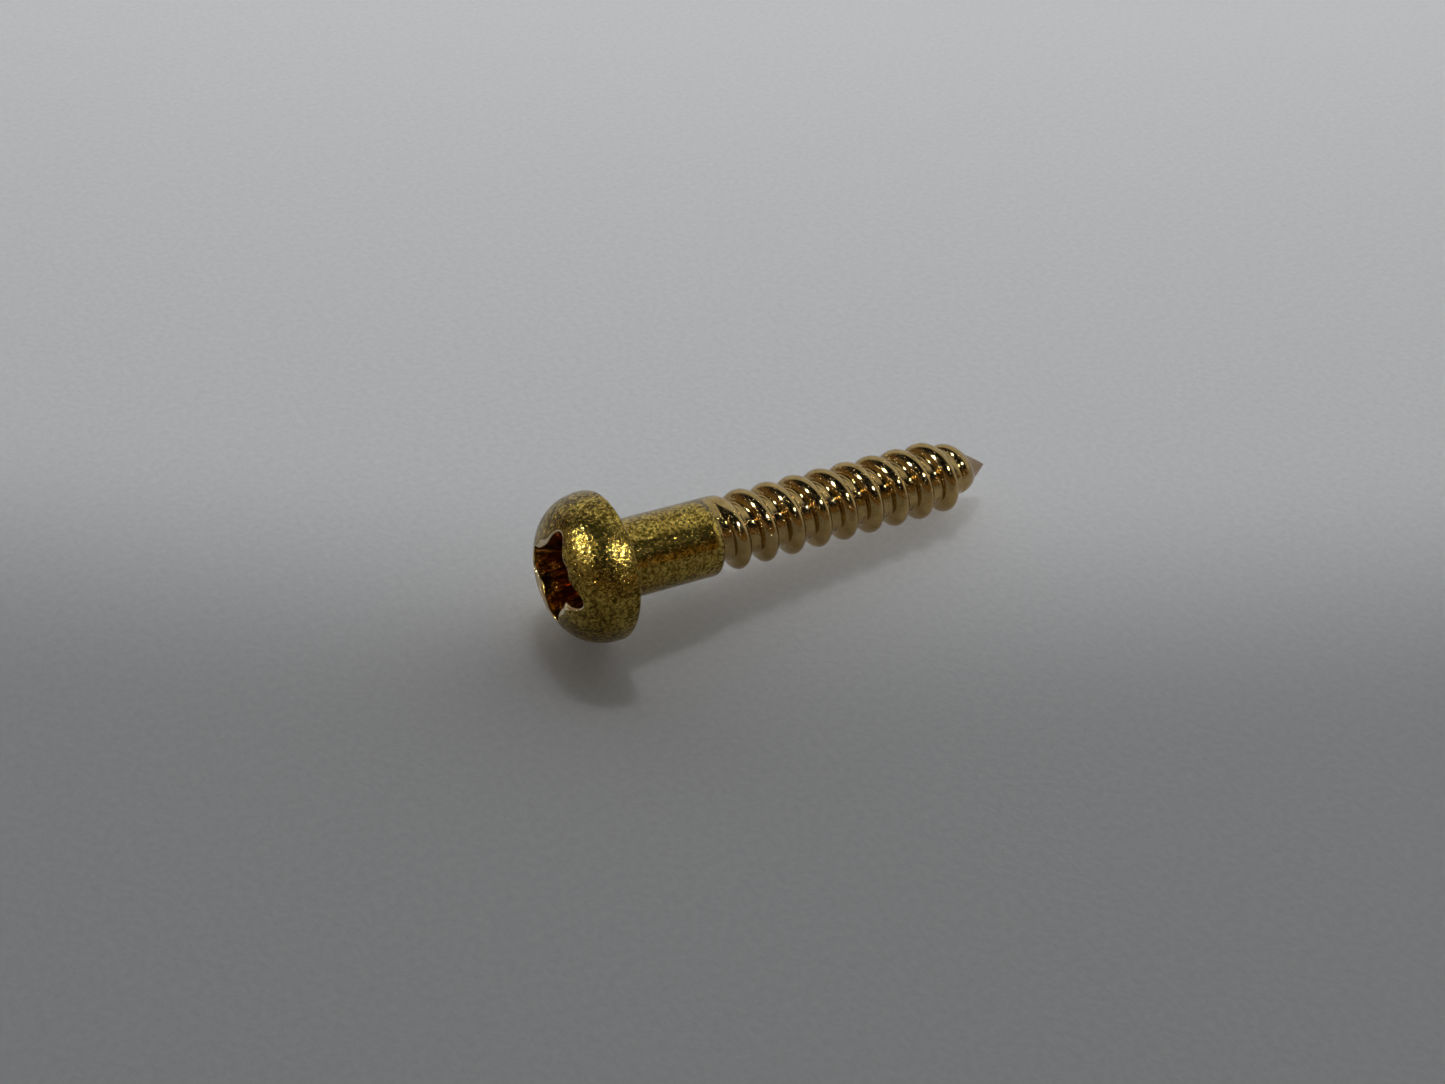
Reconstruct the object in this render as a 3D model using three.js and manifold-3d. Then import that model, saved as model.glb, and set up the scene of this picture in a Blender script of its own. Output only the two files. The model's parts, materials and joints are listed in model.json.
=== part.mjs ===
// Wood screw: round head with a cross recess, plain shank, right-hand wood thread and gimlet point.
// Millimetres, +Z up. The screw is built along +X with the seat under its head at x = 0 and its
// point at x = screwLength. It is then laid on the ground plane z = 0, where it rests on the rim
// of its head and on one thread crest, with the origin under the middle of its bounding box.

import * as THREE from 'three';
import { mergeVertices } from 'three/addons/utils/BufferGeometryUtils.js';
import Module from 'manifold-3d';

const wasm = await Module();
wasm.setup();

// Overall
const screwLength = 20.4; // seat under the head to the point

// Head
const headDiameter = 6.5;
const headHeight = 2.65;
const headFullness = 2.45; // exponent of the dome's superellipse, 2 is a plain ellipse
const rimRound = 0.15; // radius between the dome and the seat

// Cross recess
const recessSpan = 5; // across two opposite wings, level with the top of the head
const recessLobeDiameter = 3.1; // across two opposite lobes between the wings, at the same level
const recessDepth = 2.1; // from the top of the head to the recess's deepest point
const recessConeHeight = 0.45; // cone at the bottom of the recess
const recessTaper = 0.26; // share of its width that the recess loses per millimetre of depth
const recessWingSharpness = 5; // larger is a narrower wing
const recessTurn = -4; // degrees that the wings are turned from the upright

// Shank
const shankDiameter = 3.44;
const plainShankLength = 4.9; // seat to where the groove of the thread begins
const seatFillet = 0.2; // between the seat and the shank

// Thread: one groove cut into the shank, so its crests are what is left of the shank's surface
const rootDiameter = 2.42;
const threadPitch = 1.414;
const crestWidth = 0.88; // base width of the lobe between two turns of the groove
const crestSharpness = 0.6; // larger is a more pointed crest, 0.5 is half an ellipse
const grooveRunIn = 0.7; // length along the screw over which the groove reaches its full depth
const grooveAngle = 46; // degrees about the axis, from +Y to +Z, at which the groove begins

// Point
const pointLength = 2.6; // length over which the root narrows to the tip
const pointFullness = 1.6; // 1 is a plain cone, larger is a blunter point
const threadRunOut = 2.9; // length over which the crest dies away
const bareTipLength = 0.3; // length before the tip that has no crest

// Facets
const segments = 48;
const domeRows = 9;
const arcRows = 2;
const crestRows = 7; // rows across the lobe of the thread
const snapLength = 0.01; // rows closer than this to an end are moved onto it
const smallestArea = 1e-9; // twice the area below which a triangle is left out
const toolOverrun = 0.5; // length of the recess's tool that stands out of the head
const tiltPasses = 5;

const headRadius = headDiameter / 2;
const shankRadius = shankDiameter / 2;
const rootRadius = rootDiameter / 2;

// Solid of a closed geometry that has positions alone.
function solidOf(geometry) {
  const merged = mergeVertices(geometry, 1e-5);
  const mesh = new wasm.Mesh({
    numProp: 3,
    vertProperties: Float32Array.from(merged.attributes.position.array),
    triVerts: Uint32Array.from(merged.index.array),
  });
  return new wasm.Manifold(mesh);
}

// Geometry of a solid.
function geometryOf(solid) {
  const mesh = solid.getMesh();
  const geometry = new THREE.BufferGeometry();
  geometry.setAttribute('position', new THREE.BufferAttribute(mesh.vertProperties, 3));
  geometry.setIndex(new THREE.BufferAttribute(mesh.triVerts, 1));
  geometry.computeVertexNormals();
  return geometry;
}

// Closed geometry from rows of points that follow each other along +X. Point j of a row is j steps
// round from +Y to +Z. A row's last point meets the first point of the same row or, on a helix,
// of the row one turn on. Triangles of no area are left out.
function skin(rows) {
  const positions = [];
  const addTriangle = (a, b, c) => {
    const cross = b.clone().sub(a).cross(c.clone().sub(a));
    if (cross.length() > smallestArea) {
      positions.push(...a, ...b, ...c);
    }
  };
  for (let i = 0; i + 1 < rows.length; i += 1) {
    for (let j = 0; j + 1 < rows[i].length; j += 1) {
      addTriangle(rows[i][j], rows[i][j + 1], rows[i + 1][j]);
      addTriangle(rows[i][j + 1], rows[i + 1][j + 1], rows[i + 1][j]);
    }
  }
  const geometry = new THREE.BufferGeometry();
  geometry.setAttribute('position', new THREE.Float32BufferAttribute(positions, 3));
  return geometry;
}

// Row of points, one for each step of a turn and one more that closes it. placeOf takes the angle
// and the share of the turn.
function row(placeOf) {
  const points = [];
  for (let j = 0; j <= segments; j += 1) {
    const angle = (2 * Math.PI * (j % segments)) / segments;
    points.push(placeOf(angle, j / segments));
  }
  return points;
}

// Point at x along the screw, at a radius and an angle about its axis.
function aroundAxis(x, radius, angle) {
  return new THREE.Vector3(x, radius * Math.cos(angle), radius * Math.sin(angle));
}

// Points of a quarter arc as [radius, x], from one angle in degrees to another.
function arc(centreRadius, centreX, round, fromDegrees, toDegrees) {
  const points = [];
  for (let i = 0; i <= arcRows; i += 1) {
    const angle = THREE.MathUtils.degToRad(fromDegrees + ((toDegrees - fromDegrees) * i) / arcRows);
    points.push([centreRadius + round * Math.cos(angle), centreX + round * Math.sin(angle)]);
  }
  return points;
}

// Dome of the head as [radius, x], a superellipse from the axis at the top out towards the rim.
function domeProfile() {
  const domeHeight = headHeight - rimRound;
  const power = 2 / headFullness;
  const points = [[0, -headHeight]];
  for (let i = 1; i < domeRows; i += 1) {
    const angle = (Math.PI / 2) * (1 - i / domeRows);
    const x = -rimRound - domeHeight * Math.sin(angle) ** power;
    points.push([headRadius * Math.cos(angle) ** power, x]);
  }
  return points;
}

// Rows of the head and the plain shank, from the top of the head to where the groove begins.
function blankRows() {
  const profile = [
    ...domeProfile(),
    ...arc(headRadius - rimRound, -rimRound, rimRound, 0, 90),
    ...arc(shankRadius + seatFillet, seatFillet, seatFillet, 270, 180),
    [shankRadius, plainShankLength],
  ];
  return profile.map(([radius, x]) => row((angle) => aroundAxis(x, radius, angle)));
}

// Radius of the thread's root, which narrows to nothing at the point.
function rootAt(x) {
  const share = Math.min(1, (screwLength - x) / pointLength);
  return rootRadius * (1 - (1 - share) ** pointFullness);
}

// Height of the lobe above the root, 0 to 1, at a distance from the crest's centre line.
function lobeHeight(distance) {
  const share = Math.min(1, Math.abs(distance) / (crestWidth / 2));
  return (1 - share * share) ** crestSharpness;
}

// Point of the thread's surface, at a distance from the crest's centre line. The line advances
// one pitch in a turn, and the groove lies half a pitch to either side of it. What would lie
// before the groove's start or past the point is moved onto that end.
function threadPoint(turn, distance, angle) {
  const crest = plainShankLength + threadPitch * (turn + 0.5 - grooveAngle / 360);
  const x = crest + distance;
  if (x > screwLength - snapLength) {
    return aroundAxis(screwLength, 0, angle);
  }
  if (x < plainShankLength + snapLength) {
    return aroundAxis(plainShankLength, shankRadius, angle);
  }
  const groove = crest + (Math.sign(distance) * threadPitch) / 2;
  const grooveEnd = plainShankLength + grooveRunIn;
  const cut = THREE.MathUtils.smoothstep(groove, plainShankLength, grooveEnd);
  const height = 1 - cut * (1 - lobeHeight(distance));
  const crestEnd = bareTipLength + threadRunOut;
  const strength = THREE.MathUtils.smoothstep(screwLength - crest, bareTipLength, crestEnd);
  return aroundAxis(x, rootAt(x) + (shankRadius - rootRadius) * strength * height, angle);
}

// Rows of the thread and the point, which follow the helix.
function threadRows() {
  const lastTurn = Math.ceil((screwLength - plainShankLength) / threadPitch) + 1;
  const rows = [];
  for (let turn = -2; turn <= lastTurn; turn += 1) {
    for (let k = 0; k < crestRows; k += 1) {
      const distance = -Math.cos((Math.PI * k) / (crestRows - 1)) * (crestWidth / 2);
      rows.push(row((angle, share) => threadPoint(turn + share, distance, angle)));
    }
  }
  return rows;
}

// Radius of a four-wing star at an angle, between its lobes' radius and its wings' radius.
function starRadius(angle) {
  const wing = Math.abs(Math.cos(2 * angle)) ** recessWingSharpness;
  return (recessLobeDiameter + (recessSpan - recessLobeDiameter) * wing) / 2;
}

// Tool that cuts the recess: a tapered four-wing star with a cone at its bottom.
function recessTool() {
  const turn = THREE.MathUtils.degToRad(recessTurn);
  const starRow = (depth, widthShare) => row((angle) => (
    aroundAxis(depth - headHeight, widthShare * starRadius(angle), angle + turn)
  ));
  const widthAt = (depth) => Math.exp(-recessTaper * depth);
  const wallDepth = recessDepth - recessConeHeight;
  return solidOf(skin([
    starRow(-toolOverrun, 0),
    starRow(-toolOverrun, widthAt(-toolOverrun)),
    starRow(0, widthAt(0)),
    starRow(wallDepth / 2, widthAt(wallDepth / 2)),
    starRow(wallDepth, widthAt(wallDepth)),
    starRow(recessDepth, 0),
  ]));
}

// Vertices of a geometry as vectors.
function pointsOf(geometry) {
  const { position } = geometry.attributes;
  return Array.from({ length: position.count }, (_, i) => (
    new THREE.Vector3().fromBufferAttribute(position, i)
  ));
}

// Turn about +Y at which the head's rim and the lowest thread crest are on one level.
function restingTilt(geometry) {
  const points = pointsOf(geometry);
  const headPoints = points.filter((point) => point.x <= 0);
  const threadPoints = points.filter((point) => point.x > plainShankLength);
  const axisY = new THREE.Vector3(0, 1, 0);
  let tilt = 0;
  for (let pass = 0; pass < tiltPasses; pass += 1) {
    const turned = (point) => point.clone().applyAxisAngle(axisY, tilt);
    const rim = headPoints.map(turned).reduce((low, point) => (point.z < low.z ? point : low));
    const slopes = threadPoints.map(turned).map((point) => (
      Math.atan2(point.z - rim.z, point.x - rim.x)
    ));
    tilt += slopes.reduce((low, slope) => Math.min(low, slope));
  }
  return tilt;
}

// The screw, lying on the ground with the origin under the middle of its bounding box.
function woodScrew() {
  const blank = solidOf(skin([...blankRows(), ...threadRows()]));
  const brass = new THREE.MeshStandardMaterial({ color: 0xa88a45, roughness: 0.42, metalness: 1 });
  const screw = new THREE.Mesh(geometryOf(blank.subtract(recessTool())), brass);
  screw.name = 'wood_screw';
  screw.rotation.y = restingTilt(screw.geometry);
  const box = new THREE.Box3().setFromObject(screw, true);
  const middle = box.getCenter(new THREE.Vector3());
  screw.position.set(-middle.x, -middle.y, -box.min.z);
  return screw;
}

const woodScrewGroup = new THREE.Group();
woodScrewGroup.add(woodScrew());

export default woodScrewGroup;
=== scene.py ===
"""Looks of a brass wood screw that lies on a pale sheet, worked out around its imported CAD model.

The screw is one closed surface, made from rows of points that follow each other from the bottom of
the recess, over the head, down the shank and along the thread to the point. Lengths are in metres.
In the screw's own frame +X runs from the head to the point, the seat under the head is at x = 0,
and an angle about the axis is counted from +Y to +Z.
"""

import json
import math

import bmesh
import bpy
import numpy as np
from mathutils import Matrix, Vector


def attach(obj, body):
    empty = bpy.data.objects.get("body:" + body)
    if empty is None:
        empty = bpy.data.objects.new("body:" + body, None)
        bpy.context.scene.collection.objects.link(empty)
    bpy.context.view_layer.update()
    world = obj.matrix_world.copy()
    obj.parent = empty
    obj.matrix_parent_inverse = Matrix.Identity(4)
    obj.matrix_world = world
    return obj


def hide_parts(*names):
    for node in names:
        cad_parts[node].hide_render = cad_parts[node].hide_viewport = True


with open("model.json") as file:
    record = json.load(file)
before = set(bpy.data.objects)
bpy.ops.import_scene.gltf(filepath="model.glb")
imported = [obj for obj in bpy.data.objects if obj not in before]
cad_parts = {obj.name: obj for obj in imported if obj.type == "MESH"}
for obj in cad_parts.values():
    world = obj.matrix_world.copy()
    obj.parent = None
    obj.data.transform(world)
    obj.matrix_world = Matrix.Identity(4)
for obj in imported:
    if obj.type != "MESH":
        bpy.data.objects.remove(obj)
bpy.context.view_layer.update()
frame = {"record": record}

MM = 0.001

# Sizes of the screw, as in the CAD model
SCREW_LENGTH = 20.4 * MM
SEAT_POINT_HEIGHT = 2.6 * MM  # the seat's mount lies this far above the axis
HEAD_RADIUS = 3.25 * MM
HEAD_HEIGHT = 2.65 * MM
HEAD_FULLNESS = 2.45
RIM_ROUND = 0.15 * MM
RECESS_WING_RADIUS = 2.5 * MM
RECESS_LOBE_RADIUS = 1.55 * MM
RECESS_DEPTH = 2.1 * MM
RECESS_CONE_HEIGHT = 0.45 * MM
RECESS_TAPER = 0.26 / MM
RECESS_WING_SHARPNESS = 5
RECESS_TURN = math.radians(-4)
BURR_HEIGHT = 0.30 * MM  # of the lobe that a driver has pushed inwards
BURR_ANGLE = math.radians(214)
BURR_WIDTH = math.radians(17)
BURR_LIP = 0.14 * MM
RECESS_LIP_ON_WING = 0.05 * MM
RECESS_LIP_ON_LOBE = 0.23 * MM
RECESS_LIP_BULGE = 0.35  # 0 is a flat chamfer and 1 a full round
SHANK_RADIUS = 1.72 * MM
PLAIN_SHANK_LENGTH = 4.9 * MM
SEAT_FILLET = 0.2 * MM
ROOT_RADIUS = 1.21 * MM
THREAD_PITCH = 1.414 * MM
CREST_WIDTH = 0.88 * MM
CREST_SHARPNESS = 0.6
GROOVE_RUN_IN = 0.7 * MM
GROOVE_START = 46 / 360  # share of a turn at which the groove begins
POINT_LENGTH = 2.6 * MM
POINT_FULLNESS = 1.6
THREAD_RUN_OUT = 2.6 * MM
BARE_TIP_LENGTH = 0.65 * MM
TIP_FLATS = 3
TIP_FLAT_DEPTH = 0.16  # share of the radius
TIP_FLATS_LENGTH = 2.0 * MM

# Fineness of the surface
COLUMNS = 320
CONE_ROWS = 6
WALL_ROWS = 18
LIP_ROWS = 7
DOME_ROWS = 44
RIM_ROWS = 7
SEAT_ROWS = 6
FILLET_ROWS = 6
SHANK_ROWS = 12
CREST_ROWS = 12
GROOVE_ROWS = 3
EDGE_STEPS = 60  # of the search for the recess's edge
SPARE_TURNS = 2  # of the thread's grid, beyond each of its ends
STEP_WIDTH = 0.03 * MM  # of the wall where the plain shank ends at the groove
WELD_DISTANCE = 1e-4 * MM
SHORTEST_NORMAL = 1e-12

# Dents of tumbling on the head and the plain shank
DENT_SIZE = 1.6 * MM
DENT_BASE = 0.009 * MM
DENT_DEPTH = 0.011 * MM
SHANK_DENT_SHARE = 0.25  # the shank's dents are this much of the head's
SMALL_DENTS_IN_A_DENT = 3  # a small dent fits this often across a broad one
SMALL_DENT_SHARE = 0.25
DENT_WAVES = 14  # that make up each field of dents
BROAD_DENT_SEED = 3
SMALL_DENT_SEED = 4


# ---------------------------------------------------------------- where the screw lies

def screw_place():
    """Matrix from the screw's own frame to the frame of the model.

    The seat's mount gives the axis and a point on the seat. Up across the axis is the axis turned
    a quarter about +Y, and the seat's centre lies one mount height down that way.
    """
    mount = frame["record"]["mounts"][0]
    along = Vector(mount["axis"]).normalized()
    sideways = Vector((0, 1, 0))
    upward = along.cross(sideways)
    seat = Vector(mount["pos_m"]) - SEAT_POINT_HEIGHT * upward
    place = Matrix((along, sideways, upward)).transposed().to_4x4()
    place.translation = seat
    return place


place = screw_place()


# ---------------------------------------------------------------- shape of the screw

def smooth_step(value, low, high):
    """0 below low, 1 above high, and 3s^2 - 2s^3 of the share s in between."""
    share = np.clip((value - low) / (high - low), 0, 1)
    return share * share * (3 - 2 * share)


def dome_height(radius):
    """x of the dome at a radius: a superellipse, (r / R)^n + (h / H)^n = 1, above the rim."""
    share = 1 - np.minimum(radius / HEAD_RADIUS, 1) ** HEAD_FULLNESS
    return -RIM_ROUND - (HEAD_HEIGHT - RIM_ROUND) * share ** (1 / HEAD_FULLNESS)


def burr_share(angle):
    """How much of the burr is at an angle: exp(-((a - place) / width)^2)."""
    return np.exp(-((angle - BURR_ANGLE) / BURR_WIDTH) ** 2)


def star_radius(angle):
    """Radius of the recess level with the head's top.

    lobe + (wing - lobe) |cos 2a|^sharpness, less the burr's height.
    """
    wing = np.abs(np.cos(2 * (angle - RECESS_TURN))) ** RECESS_WING_SHARPNESS
    burr = BURR_HEIGHT * burr_share(angle)
    return RECESS_LOBE_RADIUS + (RECESS_WING_RADIUS - RECESS_LOBE_RADIUS) * wing - burr


def recess_edge(angle):
    """Radius at which the recess's wall meets the dome.

    The wall narrows with depth d below the head's top as star * exp(-taper * d). Each step takes
    the mean of the guess and of the wall's radius at the dome's depth there, until they agree.
    """
    star = star_radius(angle)
    edge = star.copy()
    for _ in range(EDGE_STEPS):
        depth = HEAD_HEIGHT + dome_height(edge)
        edge = (edge + star * np.exp(-RECESS_TAPER * depth)) / 2
    return edge


def lip_width(angle):
    """Width of the recess's lip: wing + (lobe - wing) (1 - |cos 2a|), and more on the burr."""
    lobe = 1 - np.abs(np.cos(2 * (angle - RECESS_TURN)))
    plain_lip = RECESS_LIP_ON_WING + (RECESS_LIP_ON_LOBE - RECESS_LIP_ON_WING) * lobe
    return plain_lip + BURR_LIP * burr_share(angle)


def around_axis(x, radius, angle):
    """Points at x along the axis, at a radius and an angle about it."""
    x, radius, angle = np.broadcast_arrays(x, radius, angle)
    return np.stack([x, radius * np.cos(angle), radius * np.sin(angle)], axis=-1)


def recess_rows(angle):
    """Rows of the recess from its bottom to its rounded lip.

    The floor is a cone on the star's outline. The wall's radius is star * exp(-taper * depth). The
    lip goes from the straight line A + s (C - A) part of the way to the curve whose corner B is the
    sharp edge: (1-s)^2 A + 2s(1-s) B + s^2 C.
    """
    star = star_radius(angle)
    width = lip_width(angle)
    edge = recess_edge(angle)
    wall_depth = RECESS_DEPTH - RECESS_CONE_HEIGHT
    share = np.linspace(0, 1, CONE_ROWS, endpoint=False)[:, None]
    floor_x = RECESS_DEPTH - HEAD_HEIGHT - RECESS_CONE_HEIGHT * share
    floor_radius = share * star * math.exp(-RECESS_TAPER * wall_depth)
    floor = around_axis(floor_x, floor_radius, angle)

    edge_depth = HEAD_HEIGHT + dome_height(edge)
    lip_depth = edge_depth + width
    share = np.linspace(0, 1, WALL_ROWS, endpoint=False)[:, None]
    depth = wall_depth + (lip_depth - wall_depth) * share
    wall = around_axis(depth - HEAD_HEIGHT, star * np.exp(-RECESS_TAPER * depth), angle)

    lip_radius = star * np.exp(-RECESS_TAPER * lip_depth)
    lip_start = around_axis(lip_depth - HEAD_HEIGHT, lip_radius, angle)
    corner = around_axis(edge_depth - HEAD_HEIGHT, edge, angle)
    lip_end = around_axis(dome_height(edge + width), edge + width, angle)
    share = np.linspace(0, 1, LIP_ROWS, endpoint=False)[:, None, None]
    curve = (1 - share) ** 2 * lip_start + 2 * share * (1 - share) * corner + share ** 2 * lip_end
    straight = lip_start + share * (lip_end - lip_start)
    lip = straight + RECESS_LIP_BULGE * (curve - straight)
    return np.concatenate([floor, wall, lip])


def dome_rows(angle):
    """Rows of the dome from the lip to the rim.

    Radius R cos(t)^(2/n) and height H sin(t)^(2/n), with t even from the lip's end down to 0.
    """
    start = recess_edge(angle) + lip_width(angle)
    power = 2 / HEAD_FULLNESS
    start_turn = np.arccos(np.minimum(start / HEAD_RADIUS, 1) ** (1 / power))
    turn = start_turn * np.linspace(1, 0, DOME_ROWS, endpoint=False)[:, None]
    x = -RIM_ROUND - (HEAD_HEIGHT - RIM_ROUND) * np.sin(turn) ** power
    return around_axis(x, HEAD_RADIUS * np.cos(turn) ** power, angle)


def ring_rows(angle):
    """Rows that are rings: the rim's quarter arc, the flat seat, the fillet and the plain shank."""
    rim = np.linspace(0, math.pi / 2, RIM_ROWS)
    fillet = np.linspace(1.5 * math.pi, math.pi, FILLET_ROWS)
    seat_share = np.linspace(0, 1, SEAT_ROWS + 2)[1:-1]
    seat_outside = HEAD_RADIUS - RIM_ROUND
    seat_inside = SHANK_RADIUS + SEAT_FILLET
    shank_x = np.linspace(SEAT_FILLET, PLAIN_SHANK_LENGTH, SHANK_ROWS + 1)[1:]
    x = np.concatenate([
        -RIM_ROUND + RIM_ROUND * np.sin(rim),
        np.zeros(SEAT_ROWS),
        SEAT_FILLET + SEAT_FILLET * np.sin(fillet),
        shank_x,
    ])
    radius = np.concatenate([
        seat_outside + RIM_ROUND * np.cos(rim),
        seat_outside + (seat_inside - seat_outside) * seat_share,
        seat_inside + SEAT_FILLET * np.cos(fillet),
        np.full(SHANK_ROWS, SHANK_RADIUS),
    ])
    return around_axis(x[:, None], radius[:, None], angle)


def thread_stations():
    """Distances of one turn's rows from the crest's line, closer together up the lobe's sides.

    On the lobe they are -cos(a) times half its width, with a even. On the root they are even.
    """
    lobe = -np.cos(np.linspace(0, math.pi, CREST_ROWS)) * CREST_WIDTH / 2
    groove = np.linspace(CREST_WIDTH / 2, THREAD_PITCH - CREST_WIDTH / 2, GROOVE_ROWS + 2)[1:-1]
    return np.concatenate([lobe, groove])


def thread_rows(angle):
    """Rows of the thread, which follow the helix, and how far the groove is cut at each point.

    Radius root + (shank - root) * strength * height, where height is the crest's lobe
    (1 - (2d / width)^2)^sharpness at a distance d from the crest's line, which runs half a pitch
    after the middle of the groove. The groove deepens over its run-in, and the crest dies away over
    its run-out to the point. The root narrows to the point as 1 - (1 - s)^fullness of the share s
    of the point's length, and loses up to depth * (1 + cos(flats * a)) / 2 of itself to the flats
    that pinching leaves at the tip. Rows before the shank's end are drawn back onto its edge.
    """
    stations = thread_stations()
    turns = math.ceil((SCREW_LENGTH - PLAIN_SHANK_LENGTH) / THREAD_PITCH) + 2 * SPARE_TURNS
    turn = np.repeat(np.arange(turns) - SPARE_TURNS, len(stations))[:, None]
    station = np.tile(stations, turns)[:, None]
    distance = np.where(station > THREAD_PITCH / 2, station - THREAD_PITCH, station)
    share = angle / (2 * math.pi)
    start = PLAIN_SHANK_LENGTH + THREAD_PITCH * (turn + share + 0.5 - GROOVE_START)
    x = start + station
    crest = x - distance
    groove = crest + np.where(distance < 0, -1, 1) * THREAD_PITCH / 2
    cut = smooth_step(groove, PLAIN_SHANK_LENGTH, PLAIN_SHANK_LENGTH + GROOVE_RUN_IN)
    lobe_share = np.minimum(1, np.abs(distance) / (CREST_WIDTH / 2))
    height = 1 - cut * (1 - (1 - lobe_share ** 2) ** CREST_SHARPNESS)
    crest_end = BARE_TIP_LENGTH + THREAD_RUN_OUT
    strength = smooth_step(SCREW_LENGTH - crest, BARE_TIP_LENGTH, crest_end)
    point_share = np.clip((SCREW_LENGTH - x) / POINT_LENGTH, 0, 1)
    root = ROOT_RADIUS * (1 - (1 - point_share) ** POINT_FULLNESS)
    flat_share = 1 - smooth_step(SCREW_LENGTH - x, 0, TIP_FLATS_LENGTH)
    root = root * (1 - TIP_FLAT_DEPTH * flat_share * (0.5 + 0.5 * np.cos(TIP_FLATS * angle)))
    radius = root + (SHANK_RADIUS - ROOT_RADIUS) * strength * height

    before = x <= PLAIN_SHANK_LENGTH
    last_before = before & np.concatenate([~before[1:], before[-1:]])
    x = np.clip(x, PLAIN_SHANK_LENGTH, SCREW_LENGTH)
    radius = np.where(before & ~last_before, SHANK_RADIUS, radius)
    x = np.where(last_before, PLAIN_SHANK_LENGTH + STEP_WIDTH * cut, x)
    cut = np.where(before & ~last_before, 0, cut)
    radius = np.where(x >= SCREW_LENGTH, 0, radius)
    return around_axis(x, radius, angle), cut


def waves(points, wavelength, count, seed):
    """Smooth irregular field: a mean of sines of p.k + phase, with k of one length, seeded."""
    random = np.random.default_rng(seed)
    ways = random.normal(size=(count, 3))
    ways *= 2 * math.pi / wavelength / np.linalg.norm(ways, axis=1, keepdims=True)
    phases = random.uniform(0, 2 * math.pi, count)
    return np.sin(points @ ways.T + phases).mean(axis=-1) * math.sqrt(count / 2)


def normals_of(points):
    """Unit normals of a grid of points, from the cross product of its two differences."""
    across = np.empty_like(points)
    across[:, 1:-1] = points[:, 2:] - points[:, :-2]
    across[:, 0] = across[:, -1] = points[:, 1] - points[:, -2]
    along = np.gradient(points, axis=0)
    normal = np.cross(across, along)
    length = np.linalg.norm(normal, axis=-1, keepdims=True)
    return normal / np.maximum(length, SHORTEST_NORMAL)


def dented(points, blank_share):
    """The blank's surface sunk by its dents.

    It sinks by base + depth * (broad^2 + share * small^2), where broad and small are two fields
    above their middle level. Past the seat, the shank keeps only its share of the depth.
    """
    broad = waves(points, DENT_SIZE, DENT_WAVES, BROAD_DENT_SEED)
    small = waves(points, DENT_SIZE / SMALL_DENTS_IN_A_DENT, DENT_WAVES, SMALL_DENT_SEED)
    on_shank = smooth_step(points[..., 0], 0, SEAT_FILLET)
    deepest = DENT_DEPTH * (1 - (1 - SHANK_DENT_SHARE) * on_shank)
    field = np.maximum(broad, 0) ** 2 + SMALL_DENT_SHARE * np.maximum(small, 0) ** 2
    depth = DENT_BASE + deepest * field
    return points - normals_of(points) * (depth * blank_share)[..., None]


def screw_surface():
    """Points of the whole screw in rows, and each point's shares of the cut, recess and lip."""
    angle = np.linspace(0, 2 * math.pi, COLUMNS + 1)
    recess = recess_rows(angle)
    head_and_shank = np.concatenate([dome_rows(angle), ring_rows(angle)])
    thread, cut = thread_rows(angle)
    points = np.concatenate([recess, head_and_shank, thread])
    cut_share = np.zeros(points.shape[:2])
    cut_share[-len(thread):] = cut
    recess_share = np.zeros(points.shape[:2])
    recess_share[:len(recess) - LIP_ROWS] = 1
    blank_share = np.zeros(points.shape[:2])
    blank_share[len(recess):-len(thread) - 1] = 1
    blank_share[len(recess) - LIP_ROWS:len(recess)] = np.linspace(0, 1, LIP_ROWS)[:, None]
    lip_share = np.zeros(points.shape[:2])
    lip_share[len(recess) - LIP_ROWS + 1:len(recess)] = 1
    shares = {"cut": cut_share, "recess": recess_share, "lip": lip_share}
    return dented(points, blank_share), shares


def closed_mesh(name, points, attributes):
    """Mesh on a grid of points, with its doubles welded and a float attribute for each share."""
    rows, columns = points.shape[:2]
    index = np.arange(rows * columns).reshape(rows, columns)
    corners = [index[:-1, :-1], index[:-1, 1:], index[1:, 1:], index[1:, :-1]]
    sides = len(corners)
    faces = np.stack(corners, axis=-1).reshape(-1, sides)
    mesh = bpy.data.meshes.new(name)
    mesh.vertices.add(rows * columns)
    mesh.vertices.foreach_set("co", points.reshape(-1).astype(np.float32))
    mesh.loops.add(faces.size)
    mesh.loops.foreach_set("vertex_index", faces.reshape(-1).astype(np.int32))
    mesh.polygons.add(len(faces))
    mesh.polygons.foreach_set("loop_start", np.arange(0, faces.size, sides, dtype=np.int32))
    mesh.polygons.foreach_set("loop_total", np.full(len(faces), sides, dtype=np.int32))
    mesh.update(calc_edges=True)
    for attribute_name, values in attributes.items():
        attribute = mesh.attributes.new(attribute_name, "FLOAT", "POINT")
        attribute.data.foreach_set("value", values.reshape(-1).astype(np.float32))
    work = bmesh.new()
    work.from_mesh(mesh)
    bmesh.ops.remove_doubles(work, verts=work.verts, dist=WELD_DISTANCE)
    bmesh.ops.dissolve_degenerate(work, edges=work.edges, dist=WELD_DISTANCE)
    work.to_mesh(mesh)
    work.free()
    mesh.validate()
    mesh.shade_smooth()
    return mesh


def make_screw():
    """The whole screw as one closed piece."""
    points, shares = screw_surface()
    turn = np.array(place.to_3x3())
    points = points @ turn.T + np.array(place.translation)
    mesh = closed_mesh("brass_wood_screw", points, shares)
    screw = bpy.data.objects.new("brass_wood_screw", mesh)
    bpy.context.scene.collection.objects.link(screw)
    return screw


# ---------------------------------------------------------------- node helpers

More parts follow.
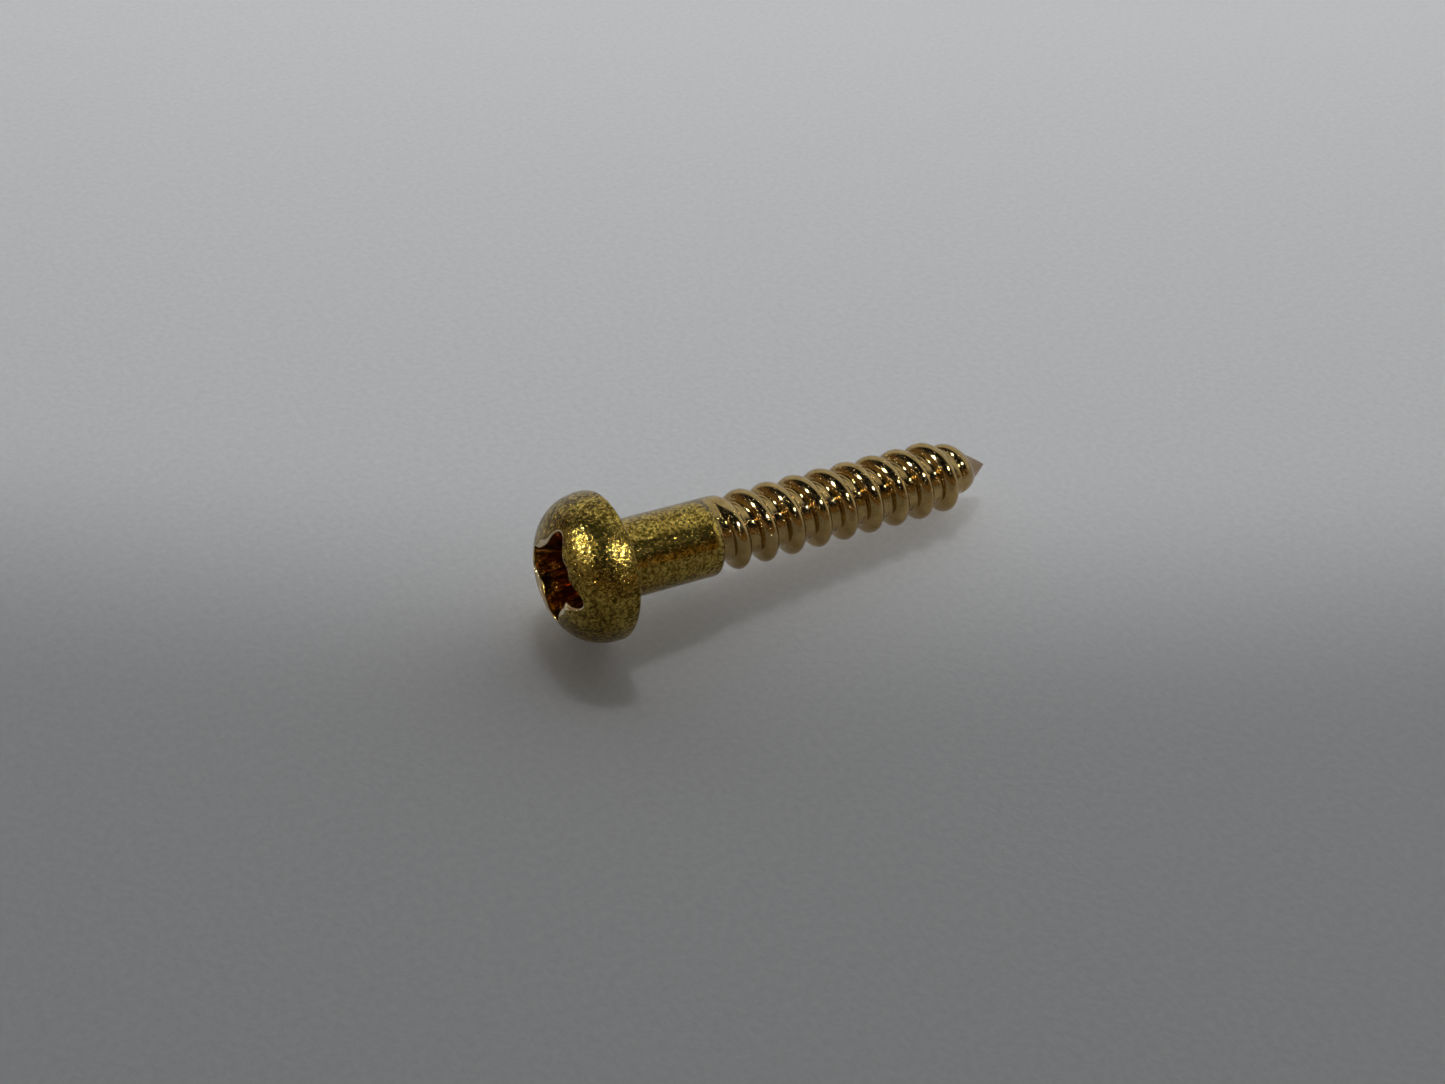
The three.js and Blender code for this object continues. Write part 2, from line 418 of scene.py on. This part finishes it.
# Sockets of a Mix node, which has one set for each kind of data
MIX_FACTOR = 0
MIX_VALUES = (2, 3)
MIX_VALUE_RESULT = 0
MIX_COLOURS = (6, 7)
MIX_COLOUR_RESULT = 2


def set_inputs(node, values):
    """Set a node's input values by name or number."""
    for key, value in values.items():
        node.inputs[key].default_value = value


def add_node(tree, kind, label, settings=None, values=None):
    """New node with its settings and input values."""
    node = tree.nodes.new(kind)
    node.label = label
    for key, value in (settings or {}).items():
        setattr(node, key, value)
    set_inputs(node, values or {})
    return node


def new_group(name, inputs, outputs):
    """New shader node group with named sockets. Returns it with its input and output nodes."""
    tree = bpy.data.node_groups.new(name, "ShaderNodeTree")
    for socket, (kind, value) in inputs.items():
        made = tree.interface.new_socket(socket, in_out="INPUT", socket_type=kind)
        if value is not None:
            made.default_value = value
    for socket, kind in outputs.items():
        tree.interface.new_socket(socket, in_out="OUTPUT", socket_type=kind)
    return tree, tree.nodes.new("NodeGroupInput"), tree.nodes.new("NodeGroupOutput")


def add_group(tree, group, label, values=None):
    """Place a group in a tree, with its own values."""
    node = tree.nodes.new("ShaderNodeGroup")
    node.node_tree = group
    node.label = label
    set_inputs(node, values or {})
    return node


def new_material(name):
    """Empty node material with an output and a Principled shader joined to it."""
    material = bpy.data.materials.new(name)
    material.use_nodes = True
    tree = material.node_tree
    tree.nodes.clear()
    output = tree.nodes.new("ShaderNodeOutputMaterial")
    shader = tree.nodes.new("ShaderNodeBsdfPrincipled")
    tree.links.new(shader.outputs["BSDF"], output.inputs["Surface"])
    return material, tree, shader


def math_node(tree, operation, label, first, second=None):
    """Math node on two sources, each a socket or a number."""
    node = add_node(tree, "ShaderNodeMath", label, {"operation": operation})
    for slot, source in enumerate((first, second)):
        if source is None:
            continue
        if isinstance(source, (int, float)):
            node.inputs[slot].default_value = source
        else:
            tree.links.new(source, node.inputs[slot])
    return node.outputs[0]


def map_range(tree, label, source, low, high, new_low, new_high):
    """Map Range node, held within its ends."""
    node = add_node(tree, "ShaderNodeMapRange", label, {"clamp": True})
    set_inputs(node, {"From Min": low, "From Max": high, "To Min": new_low, "To Max": new_high})
    tree.links.new(source, node.inputs["Value"])
    return node.outputs["Result"]


def noise(tree, label, vector, scale, detail=2.0, roughness=0.5, distortion=0.0):
    """Noise texture's value. Its scale is in bumps per millimetre."""
    values = {"Scale": scale, "Detail": detail, "Roughness": roughness, "Distortion": distortion}
    node = add_node(tree, "ShaderNodeTexNoise", label, None, values)
    tree.links.new(vector, node.inputs["Vector"])
    return node.outputs["Fac"]


def mix_colour(tree, label, factor, first, second):
    """Colour between two sources, each a socket or a colour."""
    node = add_node(tree, "ShaderNodeMix", label, {"data_type": "RGBA"})
    tree.links.new(factor, node.inputs[MIX_FACTOR])
    for slot, source in zip(MIX_COLOURS, (first, second)):
        if isinstance(source, tuple):
            node.inputs[slot].default_value = source
        else:
            tree.links.new(source, node.inputs[slot])
    return node.outputs[MIX_COLOUR_RESULT]


def mix_value(tree, label, factor, first, second):
    """Value between two sources, each a socket or a number."""
    node = add_node(tree, "ShaderNodeMix", label, {"data_type": "FLOAT"})
    tree.links.new(factor, node.inputs[MIX_FACTOR])
    for slot, source in zip(MIX_VALUES, (first, second)):
        if isinstance(source, (int, float)):
            node.inputs[slot].default_value = source
        else:
            tree.links.new(source, node.inputs[slot])
    return node.outputs[MIX_VALUE_RESULT]


# ---------------------------------------------------------------- shared effects

# Noises of the tumbled skin. A scale is in bumps per millimetre.
DIMPLES = {"scale": 4.6, "detail": 2.5, "roughness": 0.55, "distortion": 0.6}
GRAIN = {"scale": 7.0, "detail": 3, "roughness": 0.6, "distortion": 0.8}
BLOTCHES = {"scale": 1.5, "detail": 4, "roughness": 0.62, "distortion": 0.6}
FOLDS = {"scale": 2.3, "detail": 3, "roughness": 0.6, "distortion": 0.9}

# Levels of those noises at which a mask begins and is full
BLOTCH_LEVELS = (0.38, 0.64)
GRAIN_LEVELS = (0.40, 0.60)
CREASE_LEVELS = (0.012, 0.060)  # away from the folds' middle value: full, and none
CREASED_PATCH_LEVELS = (0.42, 0.56)
NOISE_MIDDLE = 0.5
CREASES_OUTSIDE_PATCHES = 0.15

# Shares of the skin's relief
DIMPLE_RELIEF = 0.80
GRAIN_RELIEF = 0.20
CREASE_RELIEF = -0.12

SCRATCH_STREAKS = {"scale": 1.0, "detail": 2, "roughness": 0.5, "distortion": 0.2}
SCRATCH_THRESHOLD = 0.62
SCRATCH_SHARPNESS = 14.0


def make_tumble_group():
    """Skin that tumbling leaves: soft dimples, a fine grain, dark creases and blotches of tarnish.

    A crease runs where the folds' noise crosses its middle value, and fades as the noise leaves it.
    """
    inputs = {"Place": ("NodeSocketVector", None)}
    outputs = {name: "NodeSocketFloat" for name in ("Height", "Blotch", "Grain", "Crease")}
    tree, entry, leave = new_group("tumbled_skin", inputs, outputs)
    where = entry.outputs["Place"]
    dimples = noise(tree, "dimples", where, **DIMPLES)
    grain = noise(tree, "grain", where, **GRAIN)
    blotches = noise(tree, "blotches", where, **BLOTCHES)
    folds = noise(tree, "folds", where, **FOLDS)

    off_middle = math_node(tree, "SUBTRACT", "off middle", folds, NOISE_MIDDLE)
    off_middle = math_node(tree, "ABSOLUTE", "either side", off_middle)
    crease = map_range(tree, "crease mask", off_middle, *CREASE_LEVELS, 1, 0)
    patches = map_range(
        tree, "where it creases", blotches, *CREASED_PATCH_LEVELS, CREASES_OUTSIDE_PATCHES, 1)
    crease = math_node(tree, "MULTIPLY", "creases in patches", crease, patches)

    broad = math_node(tree, "MULTIPLY", "share of dimples", dimples, DIMPLE_RELIEF)
    fine = math_node(tree, "MULTIPLY", "share of grain", grain, GRAIN_RELIEF)
    sunk = math_node(tree, "MULTIPLY", "depth of creases", crease, CREASE_RELIEF)
    height = math_node(tree, "ADD", "both", broad, fine)
    height = math_node(tree, "ADD", "with creases", height, sunk)

    results = {
        "Height": height,
        "Blotch": map_range(tree, "blotch mask", blotches, *BLOTCH_LEVELS, 0, 1),
        "Grain": map_range(tree, "grain mask", grain, *GRAIN_LEVELS, 0, 1),
        "Crease": crease,
    }
    for name, source in results.items():
        tree.links.new(source, leave.inputs[name])
    return tree


def make_scratch_group():
    """Short scratches: noise drawn out along one direction and kept only at its peaks."""
    inputs = {
        "Place": ("NodeSocketVector", None),
        "Turn": ("NodeSocketVector", None),
        "Stretch": ("NodeSocketVector", (1.0, 1.0, 1.0)),
        "Threshold": ("NodeSocketFloat", SCRATCH_THRESHOLD),
    }
    tree, entry, leave = new_group("fine_scratches", inputs, {"Mask": "NodeSocketFloat"})
    turn = add_node(tree, "ShaderNodeMapping", "direction of the scratches")
    tree.links.new(entry.outputs["Place"], turn.inputs["Vector"])
    tree.links.new(entry.outputs["Turn"], turn.inputs["Rotation"])
    stretch = add_node(tree, "ShaderNodeMapping", "length of the scratches")
    tree.links.new(turn.outputs["Vector"], stretch.inputs["Vector"])
    tree.links.new(entry.outputs["Stretch"], stretch.inputs["Scale"])
    streaks = noise(tree, "streaks", stretch.outputs["Vector"], **SCRATCH_STREAKS)
    above = math_node(tree, "SUBTRACT", "above the threshold", streaks, entry.outputs["Threshold"])
    sharp = math_node(tree, "MULTIPLY", "sharpen", above, SCRATCH_SHARPNESS)
    held = add_node(tree, "ShaderNodeClamp", "0 to 1")
    tree.links.new(sharp, held.inputs["Value"])
    tree.links.new(held.outputs["Result"], leave.inputs["Mask"])
    return tree


def screw_coordinates(tree):
    """Object coordinates in millimetres, in the screw's own frame."""
    source = add_node(tree, "ShaderNodeTexCoord", "place on the screw")
    settings = {"vector_type": "TEXTURE"}
    values = {"Location": place.translation, "Rotation": place.to_euler(), "Scale": (MM, MM, MM)}
    mapping = add_node(tree, "ShaderNodeMapping", "into the screw's frame", settings, values)
    tree.links.new(source.outputs["Object"], mapping.inputs["Vector"])
    return mapping.outputs["Vector"]


def share_of(tree, name):
    """The screw's own attribute of that name."""
    node = add_node(tree, "ShaderNodeAttribute", name, {"attribute_name": name})
    return node.outputs["Fac"]


# ---------------------------------------------------------------- brass

TUMBLED_LIGHT = (0.66, 0.468, 0.105, 1)
TUMBLED_DARK = (0.095, 0.070, 0.004, 1)
TARNISH = (0.16, 0.070, 0.004, 1)
CREASE_COLOUR = (0.040, 0.022, 0.002, 1)
CUT_LIGHT = (0.60, 0.44, 0.19, 1)
CUT_DARK = (0.24, 0.14, 0.03, 1)
TIP_COLOUR = (0.27, 0.15, 0.075, 1)
LIP_COLOUR = (0.82, 0.66, 0.42, 1)
# Painted shade inside the recess: dark red-brown, in lighter and darker streaks
RECESS_SHADE_LIGHT = (0.64, 0.30, 0.06, 1)
RECESS_SHADE_DARK = (0.10, 0.03, 0.005, 1)

# How much of a colour the metal takes where its mask is full
TARNISH_SHARE = 0.42
CREASE_SHARE = 0.85
TIP_SHARE = 0.85

# Levels of the screw's own attributes between which one finish gives way to the next
CUT_LEVELS = (0.0, 0.03)
RECESS_LEVELS = (0.4, 0.9)
LIP_LEVELS = (0.35, 0.65)

# Places along the screw, in millimetres from the seat
SHANK_BEGINS = (-0.1, 0.1)
# between these places the thread's colour grows darker towards the tip
TIP_DARKENS = (18.2, 20.0)

CUT_TINT = {"scale": 2.0, "detail": 3, "roughness": 0.6}
CUT_TINT_LEVELS = (0.3, 0.7)
PUNCH_STREAKS = {"scale": 1.0, "detail": 3, "roughness": 0.6}
PUNCH_STRETCH = (0.5, 4.2, 4.2)  # bumps per millimetre along the screw and across it
PUNCH_LEVELS = (0.44, 0.62)

# Roughness, from a low value of its noise to a high one
HEAD_ROUGHNESS = (0.27, 0.17)
SHANK_ROUGHNESS = (0.17, 0.14)
CUT_ROUGHNESS = (0.06, 0.13)
RECESS_ROUGHNESS = 0.16
LIP_ROUGHNESS = 0.14

# Relief: shares of its full height
RELIEF_HEIGHT = 0.046 * MM
SHANK_RELIEF = 0.20  # of the tumbled skin on the plain shank
SCRATCH_RELIEF = -0.12
CHATTER_RELIEF = 0.03
CHATTER = {"scale": 7.0, "detail": 2, "roughness": 0.5}
SCRATCH_TURN = (0.4, 0.9, 0.3)
SCRATCH_STRETCH = (22.0, 22.0, 1.6)


def blank_colour(tree, skin, upset):
    """Colour of the tumbled blank: grain, then tarnish, then creases, fewer on the shank."""
    colour = mix_colour(tree, "grain", skin.outputs["Grain"], TUMBLED_DARK, TUMBLED_LIGHT)
    tarnish = math_node(tree, "MULTIPLY", "share of tarnish", skin.outputs["Blotch"], TARNISH_SHARE)
    colour = mix_colour(tree, "tarnish", tarnish, colour, TARNISH)
    crease = math_node(tree, "MULTIPLY", "share of creases", skin.outputs["Crease"], CREASE_SHARE)
    crease = math_node(tree, "MULTIPLY", "fewer on the shank", crease, upset)
    return mix_colour(tree, "creases", crease, colour, CREASE_COLOUR)


def thread_colour(tree, along, tint):
    """Colour of the cut thread, which is darker towards the tip."""
    colour = mix_colour(tree, "cut metal", tint, CUT_DARK, CUT_LIGHT)
    # the thread's colour darkens towards the tip
    tip = map_range(tree, "darker towards the tip", along, *TIP_DARKENS, 0, TIP_SHARE)
    return mix_colour(tree, "tip", tip, colour, TIP_COLOUR)


def recess_painted_shade(tree, where):
    """Painted shade inside the recess: dark red-brown, in lighter and darker streaks drawn out
    along the punch.
    """
    drawn_out = add_node(tree, "ShaderNodeMapping", "drawn out along the punch")
    drawn_out.inputs["Scale"].default_value = PUNCH_STRETCH
    tree.links.new(where, drawn_out.inputs["Vector"])
    streaks = noise(tree, "streaks of the punch", drawn_out.outputs["Vector"], **PUNCH_STREAKS)
    # the recess's painted shade, between its darker and lighter streaks
    streaks = map_range(tree, "streak mask", streaks, *PUNCH_LEVELS, 0, 1)
    return mix_colour(tree, "painted shade in the recess", streaks, RECESS_SHADE_DARK, RECESS_SHADE_LIGHT)


def brass_roughness(tree, skin, tint, shank, masks):
    """Roughness: satin on the head, smoother on the shank and in the recess, bright on the cut."""
    grain = skin.outputs["Grain"]
    head = map_range(tree, "roughness of the head", grain, 0, 1, *HEAD_ROUGHNESS)
    drawn = map_range(tree, "roughness of the shank", grain, 0, 1, *SHANK_ROUGHNESS)
    bright = map_range(tree, "roughness of the cut", tint, *CUT_TINT_LEVELS, *CUT_ROUGHNESS)
    rough = mix_value(tree, "roughness of the blank", shank, head, drawn)
    rough = mix_value(tree, "recess roughness", masks["recess"], rough, RECESS_ROUGHNESS)
    rough = mix_value(tree, "lip roughness", masks["lip"], rough, LIP_ROUGHNESS)
    return mix_value(tree, "thread roughness", masks["cut"], rough, bright)


def brass_normal(tree, where, skin, scratches, upset, masks):
    """Normal from the tumbled skin where it is left, and from scratches and chatter all over."""
    plain = math_node(tree, "SUBTRACT", "not cut", upset, masks["cut"])
    plain = math_node(tree, "SUBTRACT", "nor lip", plain, masks["lip"])
    plain = math_node(tree, "MAXIMUM", "at least none", plain, 0.0)
    outside = math_node(tree, "SUBTRACT", "open", 1.0, masks["recess"])
    plain = math_node(tree, "MULTIPLY", "nor recessed", plain, outside)
    relief = math_node(tree, "MULTIPLY", "relief of the blank", skin.outputs["Height"], plain)

    values = {"Turn": SCRATCH_TURN, "Stretch": SCRATCH_STRETCH, "Threshold": SCRATCH_THRESHOLD}
    marks = add_group(tree, scratches, "scratches across", values)
    tree.links.new(where, marks.inputs["Place"])
    scratch = math_node(
        tree, "MULTIPLY", "relief of the scratches", marks.outputs["Mask"], SCRATCH_RELIEF)
    chatter = noise(tree, "tool chatter", where, **CHATTER)
    chatter = math_node(tree, "MULTIPLY", "relief of the chatter", chatter, CHATTER_RELIEF)
    relief = math_node(tree, "ADD", "with scratches", relief, scratch)
    relief = math_node(tree, "ADD", "with chatter", relief, chatter)

    values = {"Strength": 1.0, "Distance": RELIEF_HEIGHT}
    bump = add_node(tree, "ShaderNodeBump", "relief", None, values)
    tree.links.new(relief, bump.inputs["Height"])
    return bump.outputs["Normal"]


def make_brass(tumbled, scratches):
    """Brass of the whole screw: tumbled on the blank, bright on the thread, with painted shade in
    the recess.
    """
    material, tree, shader = new_material("screw_brass")
    where = screw_coordinates(tree)
    skin = add_group(tree, tumbled, "tumbled skin")
    tree.links.new(where, skin.inputs["Place"])
    tint = noise(tree, "tint of the cut", where, **CUT_TINT)
    masks = {
        "cut": map_range(tree, "cut by the tool", share_of(tree, "cut"), *CUT_LEVELS, 0, 1),
        "recess": map_range(tree, "recessed", share_of(tree, "recess"), *RECESS_LEVELS, 0, 1),
        "lip": map_range(tree, "on the lip", share_of(tree, "lip"), *LIP_LEVELS, 0, 1),
    }
    split = add_node(tree, "ShaderNodeSeparateXYZ", "along the screw")
    tree.links.new(where, split.inputs["Vector"])
    along = split.outputs["X"]
    shank = map_range(tree, "upset head or drawn shank", along, *SHANK_BEGINS, 0, 1)
    upset = map_range(tree, "relief left on the shank", shank, 0, 1, 1, SHANK_RELIEF)

    blank = blank_colour(tree, skin, upset)
    # the recess takes its painted shade in place of the blank's colour
    colour = mix_colour(tree, "blank or recess", masks["recess"], blank, recess_painted_shade(tree, where))
    colour = mix_colour(tree, "lip of the recess", masks["lip"], colour, LIP_COLOUR)
    bright = thread_colour(tree, along, tint)
    colour = mix_colour(tree, "blank or thread", masks["cut"], colour, bright)
    rough = brass_roughness(tree, skin, tint, shank, masks)
    normal = brass_normal(tree, where, skin, scratches, upset, masks)

    tree.links.new(colour, shader.inputs["Base Color"])
    tree.links.new(rough, shader.inputs["Roughness"])
    tree.links.new(normal, shader.inputs["Normal"])
    shader.inputs["Metallic"].default_value = 1.0
    return material


# ---------------------------------------------------------------- floor, light and camera

FLOOR_REACH = 1.6  # of the sheet, each way from the screw
FLOOR_COLOUR = (0.815, 0.82, 0.825, 1)
FLOOR_SHADE = (0.66, 0.67, 0.68, 1)
FLOOR_ROUGHNESS = 0.9
FLOOR_GLOSS = 0.25
PAPER_TOOTH = {"scale": 3.0, "detail": 3, "roughness": 0.6}
TOOTH_STRENGTH = 0.3
TOOTH_HEIGHT = 0.04 * MM


def make_floor():
    """A level pale sheet under the screw, with the faint tooth of paper."""
    mesh = bpy.data.meshes.new("pale_sheet")
    reach = FLOOR_REACH
    corners = [(-reach, -reach, 0), (reach, -reach, 0), (reach, reach, 0), (-reach, reach, 0)]
    mesh.from_pydata(corners, [], [(0, 1, 2, 3)])
    floor = bpy.data.objects.new("pale_sheet", mesh)
    bpy.context.scene.collection.objects.link(floor)
    material, tree, shader = new_material("sheet_paper")
    source = add_node(tree, "ShaderNodeTexCoord", "place on the sheet")
    mapping = add_node(tree, "ShaderNodeMapping", "millimetres", {"vector_type": "TEXTURE"})
    mapping.inputs["Scale"].default_value = (MM, MM, MM)
    tree.links.new(source.outputs["Object"], mapping.inputs["Vector"])
    tooth = noise(tree, "tooth of the paper", mapping.outputs["Vector"], **PAPER_TOOTH)
    colour = mix_colour(tree, "paper", tooth, FLOOR_SHADE, FLOOR_COLOUR)
    tree.links.new(colour, shader.inputs["Base Color"])
    shader.inputs["Roughness"].default_value = FLOOR_ROUGHNESS
    shader.inputs["Specular IOR Level"].default_value = FLOOR_GLOSS
    values = {"Strength": TOOTH_STRENGTH, "Distance": TOOTH_HEIGHT}
    bump = add_node(tree, "ShaderNodeBump", "tooth", None, values)
    tree.links.new(tooth, bump.inputs["Height"])
    tree.links.new(bump.outputs["Normal"], shader.inputs["Normal"])
    mesh.materials.append(material)
    return floor


def direction(azimuth, elevation):
    """Unit vector towards an azimuth, counted from -Y to +X, and an elevation, both in degrees."""
    across = math.radians(azimuth)
    high = math.radians(elevation)
    level = math.cos(high)
    return Vector((math.sin(across) * level, -math.cos(across) * level, math.sin(high)))


CAMERA_AZIMUTH = -33.708
CAMERA_ELEVATION = 39.386
CAMERA_ROLL = math.radians(3.875)
CAMERA_DISTANCE = 84.46 * MM
CAMERA_ASIDE = 2.603 * MM  # the view's middle lies this far to the left of the target
CAMERA_BELOW = 1.841 * MM  # and this far below it
CAMERA_LENS = 48.0
CAMERA_SENSOR = 36.0
CAMERA_TARGET = Vector((0, 0, 3.44 * MM))
CAMERA_NEAR = 1 * MM
CAMERA_FAR = 10


def make_camera():
    """Camera that looks down at the screw from the head's side."""
    back = direction(CAMERA_AZIMUTH, CAMERA_ELEVATION)
    turn = math.radians(CAMERA_AZIMUTH)
    level = Vector((math.cos(turn), math.sin(turn), 0))
    upright = back.cross(level)
    across = level * math.cos(CAMERA_ROLL) + upright * math.sin(CAMERA_ROLL)
    upward = upright * math.cos(CAMERA_ROLL) - level * math.sin(CAMERA_ROLL)
    data = bpy.data.cameras.new("camera")
    data.lens = CAMERA_LENS
    data.sensor_width = CAMERA_SENSOR
    data.clip_start = CAMERA_NEAR
    data.clip_end = CAMERA_FAR
    camera = bpy.data.objects.new("camera", data)
    camera.matrix_world = Matrix((across, upward, back)).transposed().to_4x4()
    facing_target = CAMERA_TARGET + back * CAMERA_DISTANCE
    camera.location = facing_target - across * CAMERA_ASIDE - upward * CAMERA_BELOW
    bpy.context.scene.collection.objects.link(camera)
    bpy.context.scene.camera = camera


WORLD_LIGHT = (0.59, 0.61, 0.63, 1)
WORLD_DARK = (0.006, 0.006, 0.007, 1)
WORLD_LOW = (0.17, 0.11, 0.05, 1)
WORLD_ON_FLOOR = 1.02  # strength with which the surroundings light the sheet
LIGHT_SIDE = (0.75, 0.65, 0.0)  # the surroundings are light towards this side
LIGHT_SIDE_LEVELS = (0.24, 0.44)  # share of the way to the light side: dark, and light
LOW_LEVELS = (0.22, 0.50)  # height above the horizon: brown, and dark


def make_world():
    """Surroundings, reflected: light on the far side, dark overhead and brown low on the near side.

    The backdrop itself is plain and pale all round.
    """
    world = bpy.data.worlds.new("studio")
    world.use_nodes = True
    tree = world.node_tree
    background = next(node for node in tree.nodes if node.type == "BACKGROUND")
    source = add_node(tree, "ShaderNodeTexCoord", "direction")
    settings = {"operation": "DOT_PRODUCT"}
    side = add_node(tree, "ShaderNodeVectorMath", "towards the light side", settings)
    tree.links.new(source.outputs["Generated"], side.inputs[0])
    side.inputs[1].default_value = LIGHT_SIDE
    split = add_node(tree, "ShaderNodeSeparateXYZ", "height")
    tree.links.new(source.outputs["Generated"], split.inputs["Vector"])
    far = map_range(tree, "far side", side.outputs["Value"], *LIGHT_SIDE_LEVELS, 0, 1)
    low = map_range(tree, "near the horizon", split.outputs["Z"], *LOW_LEVELS, 1, 0)
    near = mix_colour(tree, "near side", low, WORLD_DARK, WORLD_LOW)
    colour = mix_colour(tree, "surroundings", far, near, WORLD_LIGHT)
    rays = add_node(tree, "ShaderNodeLightPath", "kind of ray")
    colour = mix_colour(tree, "plain backdrop", rays.outputs["Is Camera Ray"], colour, WORLD_LIGHT)
    tree.links.new(colour, background.inputs["Color"])
    strength = mix_value(tree, "strength", rays.outputs["Is Diffuse Ray"], 1.0, WORLD_ON_FLOOR)
    tree.links.new(strength, background.inputs["Strength"])
    bpy.context.scene.world = world


# Lights over the far floor, in metres and watts: how far back and how high each one hangs, the
# angle and blend of its pool, the radius of its source, and whether the screw shades it
FLOOR_LIGHT_TURN = 184.5  # they hang nearly straight across the screw from the camera
FLOOR_LIGHTS = {
    "far_hood": {
        "back": 0.20, "height": 0.35, "angle": 61.4, "blend": 0.14, "radius": 0.05, "power": 1.15,
        "shaded": True},
    "far_fill": {
        "back": 0.246, "height": 0.315, "angle": 78.6, "blend": 0.10, "radius": 0.002, "power": 1.8,
        "shaded": False},
}

# Small lamps that show in the brass alone: their azimuth and elevation, size and power
LAMP_COLOUR = (0.86, 0.90, 1.0)  # a little cool
LAMP_DISTANCE = 0.30
LAMP_AIM = Vector((0, 0, 3.0 * MM))
HIGHLIGHT_LAMPS = {
    "left_lamp": {"azimuth": -100, "elevation": 37, "size": (0.040, 0.035), "power": 0.56},
    "right_lamp": {"azimuth": 19, "elevation": 50, "size": (0.032, 0.032), "power": 0.44},
    "thread_lamp": {"azimuth": 57, "elevation": 47, "size": (0.005, 0.005), "power": 0.0005},
    "lip_lamp": {"azimuth": -72, "elevation": 26, "size": (0.02, 0.02), "power": 0.0035},
}


def add_floor_light(name, back, height, angle, blend, radius, power, shaded):
    """Hood over the far floor that shines straight down. The edge of its pool crosses the screw."""
    light = bpy.data.lights.new(name, "SPOT")
    light.energy = power
    light.spot_size = math.radians(angle)
    light.spot_blend = blend
    light.shadow_soft_size = radius
    light.use_shadow = shaded
    lamp = bpy.data.objects.new(name, light)
    lamp.location = direction(CAMERA_AZIMUTH + FLOOR_LIGHT_TURN, 0) * back
    lamp.location.z = height
    lamp.visible_glossy = False
    bpy.context.scene.collection.objects.link(lamp)


def add_highlight_lamp(name, azimuth, elevation, size, power):
    """Rectangular light that faces the screw and shows in its reflections alone."""
    light = bpy.data.lights.new(name, "AREA")
    light.shape = "RECTANGLE"
    light.size, light.size_y = size
    light.energy = power
    light.color = LAMP_COLOUR
    lamp = bpy.data.objects.new(name, light)
    towards = direction(azimuth, elevation)
    lamp.location = LAMP_AIM + towards * LAMP_DISTANCE
    lamp.rotation_euler = towards.to_track_quat("Z", "Y").to_euler()
    lamp.visible_diffuse = False
    bpy.context.scene.collection.objects.link(lamp)


def make_lights():
    """Light on the far floor from a hood and a fill, and four lamps for the brass's highlights."""
    for name, values in FLOOR_LIGHTS.items():
        add_floor_light(name, **values)
    for name, values in HIGHLIGHT_LAMPS.items():
        add_highlight_lamp(name, **values)


make_camera()
make_world()
make_lights()
floor = make_floor()

screw = make_screw()
screw.data.materials.append(make_brass(make_tumble_group(), make_scratch_group()))
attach(screw, "root")
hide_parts("wood_screw")

bpy.context.scene.view_settings.view_transform = "Standard"
